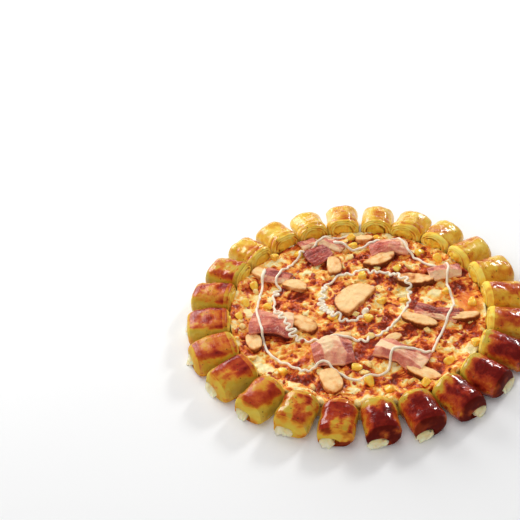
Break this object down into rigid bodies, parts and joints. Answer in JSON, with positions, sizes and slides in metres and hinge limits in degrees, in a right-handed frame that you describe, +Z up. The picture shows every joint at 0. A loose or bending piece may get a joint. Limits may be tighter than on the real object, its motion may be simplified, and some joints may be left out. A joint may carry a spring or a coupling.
{
  "type": "pan pizza with a stuffed roll crown",
  "caption": "Round baked pan pizza with a rim of stuffed dough rolls, topped with cheese, chicken, ham, corn and mayonnaise.",
  "frame": {"origin": "middle of the underside of the dough disc, on the surface that the pizza rests on", "axes": "+Z up, -Y towards the viewer in the picture, +X to the right"},
  "size_m": [0.325, 0.3135, 0.0285],
  "materials": {
    "base": "baked dough, dry and matt",
    "cheese": "melted cheese browned in spots, with sweetcorn and mayonnaise fused on",
    "roll": "glazed baked dough, golden at the back and dark brown at the front right",
    "chicken": "cooked chicken, pale beige with browned edges",
    "ham": "cooked ham, pink with darker red patches"
  },
  "bodies": {
    "root": {"base": "base", "cheese": "cheese", "roll_01": "roll", "roll_02": "roll", "roll_03": "roll", "roll_04": "roll", "roll_05": "roll", "roll_06": "roll", "roll_07": "roll", "roll_08": "roll", "roll_09": "roll", "roll_10": "roll", "roll_11": "roll", "roll_12": "roll", "roll_13": "roll", "roll_14": "roll", "roll_15": "roll", "roll_16": "roll", "roll_17": "roll", "roll_18": "roll", "roll_19": "roll", "roll_20": "roll", "roll_21": "roll", "roll_22": "roll", "roll_23": "roll", "roll_24": "roll", "chicken_01": "chicken", "chicken_02": "chicken", "chicken_03": "chicken", "chicken_04": "chicken", "chicken_05": "chicken", "chicken_06": "chicken", "chicken_07": "chicken", "chicken_08": "chicken", "chicken_09": "chicken", "chicken_10": "chicken", "chicken_11": "chicken", "chicken_12": "chicken", "chicken_13": "chicken", "chicken_14": "chicken", "chicken_15": "chicken", "ham_01": "ham", "ham_02": "ham", "ham_03": "ham", "ham_04": "ham", "ham_05": "ham", "ham_06": "ham", "ham_07": "ham", "ham_08": "ham", "ham_09": "ham", "ham_10": "ham"}
  },
  "joints": []
}
